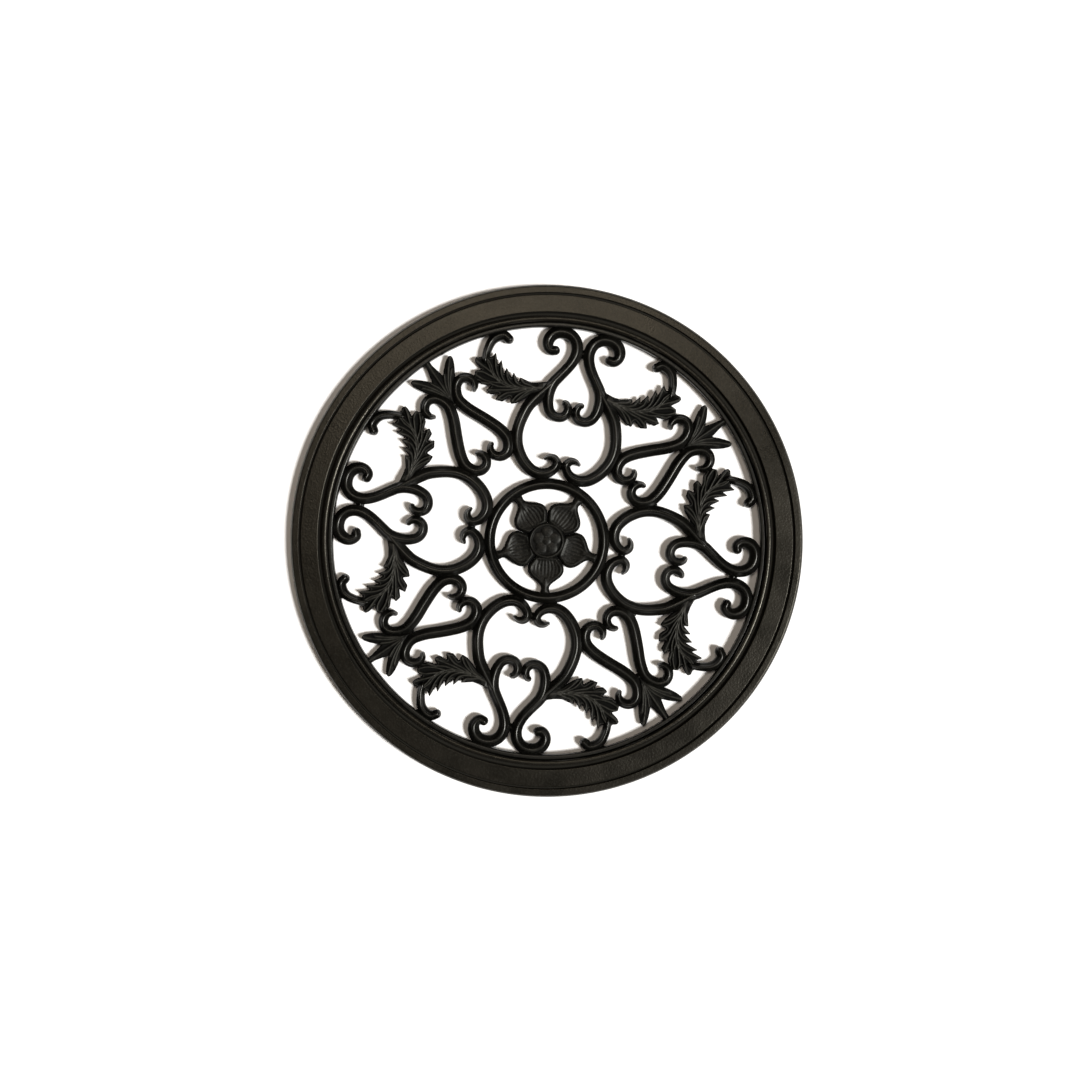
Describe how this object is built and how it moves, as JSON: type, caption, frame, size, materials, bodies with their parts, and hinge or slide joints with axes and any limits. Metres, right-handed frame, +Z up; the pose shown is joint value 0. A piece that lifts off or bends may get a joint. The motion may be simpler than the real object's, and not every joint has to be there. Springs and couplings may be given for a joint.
{
  "type": "floor drain grate",
  "caption": "Round ornamental drain grate: a stepped outer frame ring and a lift-out scrollwork grate with hearts, leaves, palmettes and a petal rosette.",
  "frame": {"origin": "on the grate's axis, in the plane that the frame stands on", "axes": "+Z up through the visible face; +X and +Y each run through the middle of a large heart"},
  "size_m": [0.559, 0.559, 0.0172],
  "materials": {
    "frame_iron": "dark brown-black satin paint over cast iron, fine grain",
    "hoop_iron": "brown-black satin paint over cast iron",
    "scroll_iron": "near-black satin paint over cast iron, paler on the ridge",
    "leaf_iron": "near-black satin paint over cast iron, paler on the veins"
  },
  "bodies": {
    "frame": {"outer_frame": "frame_iron"},
    "grate": {"grate_hoop": "hoop_iron", "centre_ring": "scroll_iron", "rosette_boss": "leaf_iron", "s_scroll_1": "scroll_iron", "s_scroll_2": "scroll_iron", "s_scroll_3": "scroll_iron", "s_scroll_4": "scroll_iron", "s_scroll_5": "scroll_iron", "s_scroll_6": "scroll_iron", "s_scroll_7": "scroll_iron", "s_scroll_8": "scroll_iron", "heart_arm_1": "scroll_iron", "heart_arm_2": "scroll_iron", "heart_arm_3": "scroll_iron", "heart_arm_4": "scroll_iron", "heart_arm_5": "scroll_iron", "heart_arm_6": "scroll_iron", "heart_arm_7": "scroll_iron", "heart_arm_8": "scroll_iron", "diagonal_arm_1": "scroll_iron", "diagonal_arm_2": "scroll_iron", "diagonal_arm_3": "scroll_iron", "diagonal_arm_4": "scroll_iron", "diagonal_arm_5": "scroll_iron", "diagonal_arm_6": "scroll_iron", "diagonal_arm_7": "scroll_iron", "diagonal_arm_8": "scroll_iron", "acanthus_leaf_1": "leaf_iron", "acanthus_leaf_2": "leaf_iron", "acanthus_leaf_3": "leaf_iron", "acanthus_leaf_4": "leaf_iron", "acanthus_leaf_5": "leaf_iron", "acanthus_leaf_6": "leaf_iron", "acanthus_leaf_7": "leaf_iron", "acanthus_leaf_8": "leaf_iron", "tendril_1": "scroll_iron", "tendril_2": "scroll_iron", "tendril_3": "scroll_iron", "tendril_4": "scroll_iron", "tendril_5": "scroll_iron", "tendril_6": "scroll_iron", "tendril_7": "scroll_iron", "tendril_8": "scroll_iron", "palmette_1": "leaf_iron", "palmette_2": "leaf_iron", "palmette_3": "leaf_iron", "palmette_4": "leaf_iron", "rosette_petal_1": "leaf_iron", "rosette_petal_2": "leaf_iron", "rosette_petal_3": "leaf_iron", "rosette_petal_4": "leaf_iron", "rosette_petal_5": "leaf_iron"}
  },
  "joints": [
    {"name": "grate_lift", "type": "slide", "parent": "frame", "child": "grate", "axis": [0, 0, 1], "range_m": [0, 0.05]}
  ]
}
